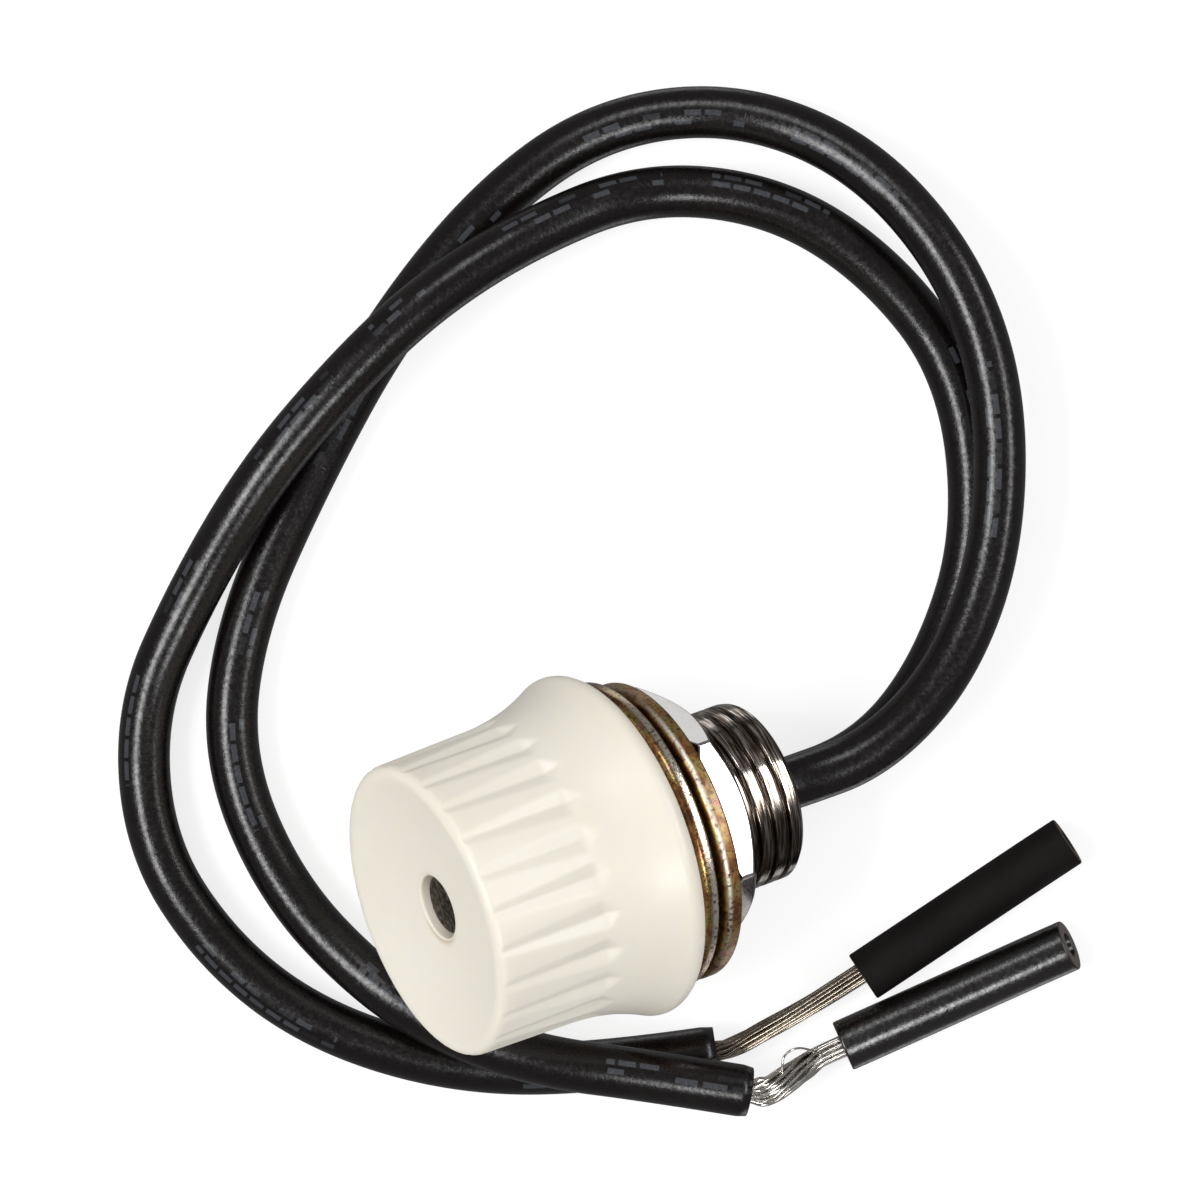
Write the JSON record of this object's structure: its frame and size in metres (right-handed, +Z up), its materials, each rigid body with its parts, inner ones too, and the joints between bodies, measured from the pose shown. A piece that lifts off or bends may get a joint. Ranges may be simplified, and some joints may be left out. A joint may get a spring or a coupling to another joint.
{
  "type": "rotary appliance switch",
  "caption": "Panel-mount rotary switch: a fluted, flared knob on a threaded bushing with a washer and hex nut, and stripped leads out of the bushing's end.",
  "frame": {"origin": "bottom centre of the switch without its leads, on the table it lies on", "axes": "+Z up; the switch's axis lies in the YZ plane, its face toward -Y and tilted up, its threaded end toward +Y"},
  "size_m": [0.0539, 0.0539, 0.0203],
  "materials": {
    "ivory": "moulded, glossy",
    "zinc": "yellow zinc plate, iridescent",
    "nickel": "bright nickel plate",
    "steel": "plain, slightly dull",
    "phenolic": "moulded phenolic",
    "fibre": "pressed fibre",
    "brass": "stamped",
    "silver": "contact silver",
    "insulation": "satin extruded",
    "tinned": "tinned copper strands"
  },
  "bodies": {
    "base": {"base_plate": "zinc", "block_yoke": "steel", "threaded_nipple": "nickel", "fibre_insulator": "fibre", "contact_block": "phenolic", "fixed_contact_a": "brass", "fixed_contact_b": "brass", "pivot_pin": "steel", "detent_spring": "steel", "lead_a": "insulation", "lead_b": "insulation", "conductor_a": "tinned", "conductor_b": "tinned", "insulation_slug_a": "insulation", "insulation_slug_b": "insulation"},
    "knob": {"knob": "ivory", "rotor": "phenolic", "contact_blade": "brass", "blade_contacts": "silver", "contact_spring": "steel"},
    "washer": {"mounting_washer": "zinc"},
    "nut": {"hex_nut": "nickel"}
  },
  "joints": [
    {"name": "knob_turn", "type": "hinge", "parent": "base", "child": "knob", "pos_m": [0, 0.00196, 0.00819], "axis": [0, -0.8996, 0.4367], "continuous": true, "deforming": ["detent_spring"]},
    {"name": "washer_slide", "type": "slide", "parent": "base", "child": "washer", "axis": [0, -0.8996, 0.4367], "range_m": [-0.0039, 0.0003]},
    {"name": "nut_turn", "type": "hinge", "parent": "washer", "child": "nut", "pos_m": [0, 0.00529, 0.00657], "axis": [0, -0.8996, 0.4367], "range_deg": [-1493, 115]}
  ],
  "couplings": [
    {"joint": "nut_turn", "follows": "washer_slide", "rad_per_m": 6679}
  ]
}
